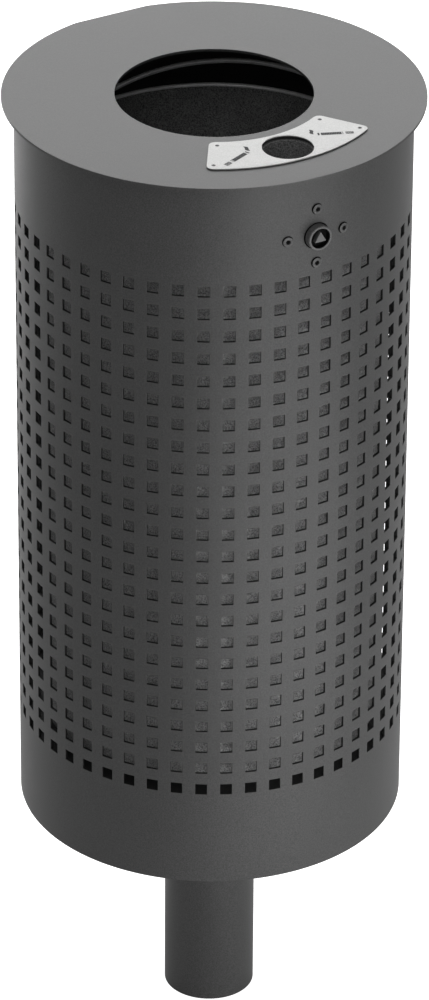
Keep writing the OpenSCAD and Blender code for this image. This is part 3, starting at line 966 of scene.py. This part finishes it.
def make_lock_cam():
    width = 11 * MM
    reach = 19.5 * MM
    disc = 7 * MM
    tip = reach - width / 2
    join = math.degrees(math.asin(width / 2 / disc))
    outline = joined(arc(0, 0, disc, 90 + join, 450 - join, 24), arc(0, tip, width / 2, 0, 180, 16))
    arm = plate("lock_cam_arm", [outline], CAM_BACK, CAM_FACE, place=LOCK_PLACE)
    settle(arm, "lock", ZINC, "zinc_plated", "lock_cam")


RIVET_ARM = 29.4 * MM
RIVET_ANGLE = math.degrees(math.asin(31.5 * MM / CASING_R))
LOCK_PLATE_T = 2 * MM
RIVETS = ((0, RIVET_ARM), (0, -RIVET_ARM), (RIVET_ANGLE, 0), (-RIVET_ANGLE, 0))


def make_lock_rivets():
    head = 5.2 * MM
    foot = 5.9 * MM
    rise = 2.3 * MM
    skirt = 1.55 * MM
    bore = 2.35 * MM
    shank = 3 * MM
    tail = 3.7 * MM
    gap = 0.1 * MM
    brim = CASING_R + skirt
    dome = crown(head, rise - skirt, bore + 0.35 * MM, brim)
    back = CASING_IN - 4.5 * MM
    tail_top = CASING_IN - LOCK_PLATE_T - gap
    profile = ([(shank, brim - 0.35 * MM), (head - 0.3 * MM, brim - 0.3 * MM)] + dome
               + [(bore, dome[-1][1] - 0.3 * MM), (bore, back), (tail - 0.4 * MM, back),
                  (tail, back + 0.4 * MM), (tail, tail_top), (shank, tail_top)])
    # Painted shade: a near-black plug in each rivet's bore.
    plug_r = bore - gap
    plug_low = back + 1 * MM
    plug_top = CASING_R + 0.6 * MM
    bore_plug = [(0, plug_low), (plug_r, plug_low), (plug_r, plug_top - 0.3 * MM),
            (plug_r - 0.3 * MM, plug_top), (0, plug_top)]
    # Painted shade: a near-black ring under each rivet head.
    washer = [(shank + gap, CASING_R), (foot, CASING_R), (head + gap / 2, brim - gap),
              (shank + gap, brim - gap)]
    heads = bmesh.new()
    bore_shades = bmesh.new()
    for angle, climb in RIVETS:
        place = outward(angle, LOCK_Z + climb)
        lathe_into(heads, profile, place, FINE)
        lathe_into(bore_shades, bore_plug, place, FINE)
        lathe_into(bore_shades, washer, place, FINE)
    head_piece = piece_from("lock_rivet_heads", heads)
    settle(head_piece, "casing", RIVET_COAT, "lock_metal", "lock_rivets")
    # The plugs and rings are painted shade.
    bore_shade_piece = piece_from("lock_rivet_bore_shade", bore_shades)
    settle(bore_shade_piece, "casing", LOCK_PAINTED_SHADE, "lock_metal")


# ---- hinge ----------------------------------------------------------------------------

# Stands an outline up: its two directions become Y and Z, and its depth becomes X.
UPRIGHT = Matrix(((0, 0, 1, 0), (1, 0, 0, 0), (0, 1, 0, 0), (0, 0, 0, 1)))
STRAP_FACE = CASING_R + 4 * MM


def make_bracket():
    half = bracket_hi.x
    high = CASING_TOP - 13 * MM
    turn_out = math.degrees(math.asin(half / STRAP_FACE))
    turn_in = math.degrees(math.asin(half / CASING_R))
    strap = joined(arc(0, 0, STRAP_FACE, 90 - turn_out, 90 + turn_out, 24),
                   arc(0, 0, CASING_R, 90 + turn_in, 90 - turn_in, 24))
    pieces = [plate("bracket_strap", [strap], bracket_lo.z, high, edge=0.6 * MM)]
    ear_low = high - 6 * MM
    ear_back = CASING_R + 0.2 * MM
    ear = joined([(ear_back, ear_low), (ear_back, HINGE_Z)],
                 arc(HINGE_Y, HINGE_Z, KNUCKLE_R, 180, -90, 24), [(HINGE_Y, ear_low)])
    bore = circle(HINGE_Y, HINGE_Z, BUSH_BORE, FINE)
    for side in (-1, 1):
        ends = sorted((side * 15.5 * MM, side * half))
        pieces.append(plate(f"bracket_ear_{side}", [ear, bore], *ends, edge=0.4 * MM, place=UPRIGHT))
    settle(merged("hinge_bracket_body", pieces), "casing", COAT, "coated_casing", "hinge_bracket")


def make_lid_knuckle():
    half = KNUCKLE_HALF
    cut = 5 * MM
    left = 180 - math.degrees(math.asin(math.sqrt(KNUCKLE_R ** 2 - cut ** 2) / KNUCKLE_R))
    right = math.degrees(math.acos((LID_FLAT_Y - HINGE_Y) / KNUCKLE_R))
    outline = joined([(LID_FLAT_Y, lid_lo.z), (HINGE_Y - cut, lid_lo.z)],
                     arc(HINGE_Y, HINGE_Z, KNUCKLE_R, left, 360 + right, 36))
    tube = plate("lid_hinge_tube", [outline, circle(HINGE_Y, HINGE_Z, BUSH_R, FINE)], -half, half,
                 edge=0.4 * MM, place=UPRIGHT)
    settle(tube, "lid", COAT, "coated_lid", "lid_knuckle")


def make_hinge_bushes():
    """Two flanged bushes, one from each end of the lid's hinge tube."""
    bm = bmesh.new()
    bush_in = 1 * MM
    half = KNUCKLE_HALF
    collar = half + 0.8 * MM
    chamfer = 0.2 * MM
    bush = [(BUSH_BORE, bush_in), (BUSH_R, bush_in), (BUSH_R, half), (KNUCKLE_R - chamfer, half),
            (KNUCKLE_R, half + chamfer), (KNUCKLE_R, collar - chamfer), (KNUCKLE_R - chamfer, collar),
            (BUSH_BORE, collar)]
    for side in (-1, 1):
        place = across(0) @ Matrix.Diagonal((1, 1, side, 1))
        lathe_into(bm, bush, place, FINE)
    pair = piece_from("hinge_bush_pair", bm)
    settle(pair, "lid", PLASTIC, "bush_plastic", "hinge_bushes")


def make_pin():
    end = pin_hi.x
    chamfer = 0.6 * MM
    half = [(PIN_R, CLIP_AT), (PIN_GROOVE_R, CLIP_AT), (PIN_GROOVE_R, CLIP_AT + CLIP_T),
            (PIN_R, CLIP_AT + CLIP_T), (PIN_R, end - chamfer), (PIN_R - chamfer, end), (0, end)]
    profile = [(r, -z) for r, z in half[::-1]] + half
    settle(lathe("hinge_pin_bar", profile, across(0), FINE), "casing", PIN_STEEL, "stainless", "hinge_pin")


def make_hinge_clips():
    jaw = 54
    ring = joined(arc(0, 0, 6.2 * MM, 90 + jaw, 450 - jaw, 36),
                  arc(0, 0, PIN_GROOVE_R, 450 - jaw, 90 + jaw, 36))
    half = CLIP_T / 2
    clips = []
    for side in (-1, 1):
        place = across(side * (CLIP_AT + half))
        clips.append(plate(f"clip_{side}", [ring], -half, half, edge=0.12 * MM, place=place))
    settle(merged("hinge_clip_pair", clips), "casing", PIN_STEEL, "stainless", "hinge_clips")


HINGE_BOLTS = [(180 + turn, CASING_TOP - drop) for turn in (-7, 7) for drop in (43 * MM, 26 * MM)]


def make_hinge_bolts():
    head = 5.5 * MM
    rise = 3.3 * MM
    socket = 2.3 * MM
    shank = 3 * MM
    chamfer = 0.5 * MM
    back = CASING_IN - 6.5 * MM
    dome = crown(head, rise, socket + 0.3 * MM, STRAP_FACE)
    floor = STRAP_FACE + rise - 2 * MM
    profile = ([(0, back), (shank - chamfer, back), (shank, back + chamfer), (shank, STRAP_FACE)] + dome
               + [(socket, dome[-1][1] - 0.1 * MM, 6), (socket, floor, 6), (0, floor)])
    bm = bmesh.new()
    for angle, z in HINGE_BOLTS:
        lathe_into(bm, profile, outward(angle, z), FINE)
    bolts = piece_from("hinge_bolt_set", bm)
    settle(bolts, "casing", ZINC, "zinc_plated", "hinge_bolts")


# ---- catch that hangs from the lid ----------------------------------------------------

def make_catch():
    """An angle under the lid, with a foot in the cam's plane that the turned cam holds down."""
    low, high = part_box("lid_catch")
    sheet = 3 * MM
    left = 20.5 * MM
    right = 26 * MM
    foot_top = low.z + 11.5 * MM
    leg_top = high.z - sheet
    shape = [(low.x, low.z), (right, low.z), (right, leg_top), (left, leg_top), (left, foot_top),
             (low.x, foot_top)]
    hook = plate("catch_hook", [shape], CAM_BACK, CAM_FACE, edge=0.3 * MM, place=outward(0, 0))
    pad = rectangle(12 * MM, low.y, 34 * MM, high.y)
    flange = plate("catch_flange", [rounded(pad, 2 * MM)], leg_top, high.z)
    settle(merged("lid_catch_hook", [hook, flange]), "lid", COAT, "coated_lid", "lid_catch")


# ---- liner ----------------------------------------------------------------------------

def make_liner_wall():
    wall = [(LINER_IN, liner_lo.z), (LINER_IN, LINER_WALL_TOP), (LINER_R, LINER_WALL_TOP),
            (LINER_R, liner_lo.z)]
    # The wall's inside carries painted shade.
    settle(lathe("liner_wall", wall), "liner", LINER_ZINC_SHADED_INSIDE, "galvanised", "liner_shell")


def make_liner_rim():
    """The wall's top edge, curled out over the rim wire."""
    curl = LINER_R + 0.05 * MM
    bead = ([(LINER_IN, LINER_WALL_TOP)] + arc(BEAD_AT, LINER_BEAD_Z, LINER_BEAD, 200, -130, 24)
            + [(curl, LINER_BEAD_Z - 3.2 * MM), (curl, LINER_WALL_TOP)])
    # The bead wears the brightened zinc, a painted highlight along the rim.
    settle(lathe("liner_rim_bead", bead), "liner", WIRE_ZINC_AND_HIGHLIGHT, "galvanised")


def make_liner_base():
    base_lo, base_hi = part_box("liner_base")
    drains = 6
    drain_r = 6 * MM
    drain_at = LINER_R * 0.62
    outlines = [circle(0, 0, LINER_IN)]
    for x, y in circle(0, 0, drain_at, drains):
        outlines.append(circle(x, y, drain_r, FINE))
    disc = plate("liner_floor", outlines, base_lo.z, base_hi.z, edge=0.2 * MM)
    settle(disc, "liner", GALVANISED, "galvanised", "liner_base")


BAIL_TURN = -47                # degrees from the X axis to the line through the bail's ears
BAIL_TILT = 16                 # degrees that the hoop stands up from level


def make_bail():
    radius = 168 * MM
    wire = 2.6 * MM
    pin_end = 177 * MM
    head_r = 5 * MM
    head_t = 2 * MM
    bail_z = liner_hi.z - 13 * MM
    bail_place = (Matrix.Translation((0, 0, bail_z)) @ Matrix.Rotation(math.radians(BAIL_TURN), 4, "Z")
                  @ Matrix.Rotation(math.radians(BAIL_TILT), 4, "X"))
    bend = 3.0
    hoop = [Vector((x, y, 0)) for x, y in arc(0, 0, radius, bend, 180 - bend, 72)]
    corner = Vector((radius, 0, 0))
    start = corner + Vector((4 * MM, 0, 0))
    leg = [Vector((pin_end + 0.5 * MM, 0, 0)), start]
    for i in range(1, 8):
        t = i / 8
        leg.append(start * (1 - t) ** 2 + corner * 2 * t * (1 - t) + hoop[0] * t * t)
    other_leg = [Vector((-p.x, p.y, p.z)) for p in leg[::-1]]
    bm = bmesh.new()
    tube_into(bm, [bail_place @ p for p in leg + hoop + other_leg], wire, sides=24)
    head_top = pin_end + head_t
    head = [(0, pin_end), (head_r - 0.4 * MM, pin_end), (head_r, pin_end + 0.4 * MM),
            (head_r, head_top - 0.7 * MM), (head_r - 0.8 * MM, head_top), (0, head_top)]
    for side in (0, 180):
        head_place = (bail_place @ Matrix.Rotation(math.radians(side), 4, "Z")
                      @ Matrix.Rotation(math.radians(90), 4, "Y"))
        lathe_into(bm, head, head_place, FINE)
    bail = piece_from("liner_bail_wire", bm)
    # The bail wears the brightened zinc, a painted highlight along the wire.
    settle(bail, "bail", WIRE_ZINC_AND_HIGHLIGHT, "galvanised", "liner_bail")


# ---- CAD nodes that keep their own mesh -----------------------------------------------

def finish_node(name, material):
    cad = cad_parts[name]
    cad.data.materials.clear()
    cad.data.materials.append(material)


# The casing floor and the lock plate wear the darker coat of painted shade.
KEPT_NODES = {
    "post_flange": COAT, "casing_floor": COAT_PAINTED_SHADE, "lock_plate": COAT_PAINTED_SHADE,
    "flange_bolts": ZINC, "flange_washers": ZINC, "flange_nuts": ZINC, "hinge_nuts": ZINC,
    "lock_cam_screw": ZINC, "liner_rim_wire": GALVANISED, "bail_ears": GALVANISED, "ear_rivets": GALVANISED,
}


# ---- stage ----------------------------------------------------------------------------

CAMERA_AT = (-2.8702, -4.9028, 3.8341)
CAMERA_SIDE = -30.375          # degrees from the front
CAMERA_DIP = 29.736            # degrees below the horizon
CAMERA_ROLL = 0.367
CAMERA_LENS = 228.19
FLOOR_Z = cad_box[0][2]


def make_plane(name, height, finish):
    half_width = 30
    bm = bmesh.new()
    bmesh.ops.create_grid(bm, x_segments=1, y_segments=1, size=half_width)
    mesh = bpy.data.meshes.new(name)
    bm.to_mesh(mesh)
    bm.free()
    mesh.materials.append(finish)
    plane = bpy.data.objects.new(name, mesh)
    plane.location.z = height
    bpy.context.scene.collection.objects.link(plane)
    return plane


def make_floor():
    """A pale floor that the camera sees, and under it a dimmer one that the bin mirrors."""
    shown = make_plane("floor", FLOOR_Z, floor_paint("floor_paint", 0.80, 0.95))
    shown.visible_diffuse = False
    shown.visible_glossy = False
    shown.visible_shadow = False
    dim_paint = floor_paint("floor_paint_mirrored", 0.86, 0.0)
    mirrored = make_plane("floor_mirrored", FLOOR_Z - 1 * MM, dim_paint)
    mirrored.visible_camera = False
    mirrored.visible_diffuse = False


def make_light(name, side, rise, distance, width, height, power, aim=0.7):
    """A soft panel aimed at the bin's axis, aim above the post's foot.

    Side is how far it stands to the camera's right and rise how far up, both in degrees about that spot.
    """
    turn = math.radians(CAMERA_SIDE + side)
    up = math.radians(rise)
    target = Vector((0, 0, aim))
    outwards = Vector((math.sin(turn) * math.cos(up), -math.cos(turn) * math.cos(up), math.sin(up)))
    data = bpy.data.lights.new(name, "AREA")
    data.shape = "RECTANGLE"
    data.size = width
    data.size_y = height
    data.energy = power
    light = bpy.data.objects.new(name, data)
    light.visible_camera = False
    light.location = target + distance * outwards
    light.rotation_euler = (target - light.location).to_track_quat("-Z", "Y").to_euler()
    bpy.context.scene.collection.objects.link(light)


def make_world(strength):
    world = bpy.data.worlds.new("studio")
    world.use_nodes = True
    background = world.node_tree.nodes["Background"]
    background.inputs["Color"].default_value = WHITE
    background.inputs["Strength"].default_value = strength
    bpy.context.scene.world = world


def make_camera():
    data = bpy.data.cameras.new("camera")
    data.lens = CAMERA_LENS
    data.sensor_width = 36
    data.clip_end = 60
    camera = bpy.data.objects.new("camera", data)
    turn = (Matrix.Rotation(math.radians(CAMERA_SIDE), 4, "Z")
            @ Matrix.Rotation(math.radians(90 - CAMERA_DIP), 4, "X")
            @ Matrix.Rotation(math.radians(CAMERA_ROLL), 4, "Z"))
    camera.matrix_world = Matrix.Translation(CAMERA_AT) @ turn
    bpy.context.scene.collection.objects.link(camera)
    bpy.context.scene.camera = camera


bpy.context.scene.view_settings.view_transform = "Standard"
make_camera()
make_world(0.20)
# Each light's name, side, rise, distance, width, height and power
make_light("top", 180, 82, 4.0, 3.0, 3.0, 30)
make_light("behind", 180, 28, 4.5, 4.5, 2.0, 106)
make_light("front_top", -10, 55, 3.5, 2.0, 1.5, 12)
make_light("front_right", 30, 6, 2.6, 1.4, 1.0, 23, aim=0.45)
make_light("side_right", 60, 6, 2.6, 1.0, 1.6, 9, aim=0.45)
make_light("low_right", 38, -24, 0.95, 1.4, 0.4, 3.0, aim=0.52)
make_light("side_left", -100, 6, 2.6, 1.0, 1.6, 2.6, aim=0.45)
make_light("rim_left", -140, 4, 2.8, 0.8, 1.8, 19)
make_floor()

make_casing()
make_seam_weld()
make_post()
make_post_weld()
make_lid()
make_ash_plate()
make_ash_fixings()
make_marks()
make_ash_cup()
make_ash_rails()
make_lock_housing()
make_lock_recess_shade()
make_lock_gap_shade()
make_lock_core()
make_lock_cam()
make_lock_rivets()
make_bracket()
make_lid_knuckle()
make_hinge_bushes()
make_pin()
make_hinge_clips()
make_hinge_bolts()
make_catch()
make_liner_wall()
make_liner_rim()
make_liner_base()
make_bail()
for node, material in KEPT_NODES.items():
    finish_node(node, material)
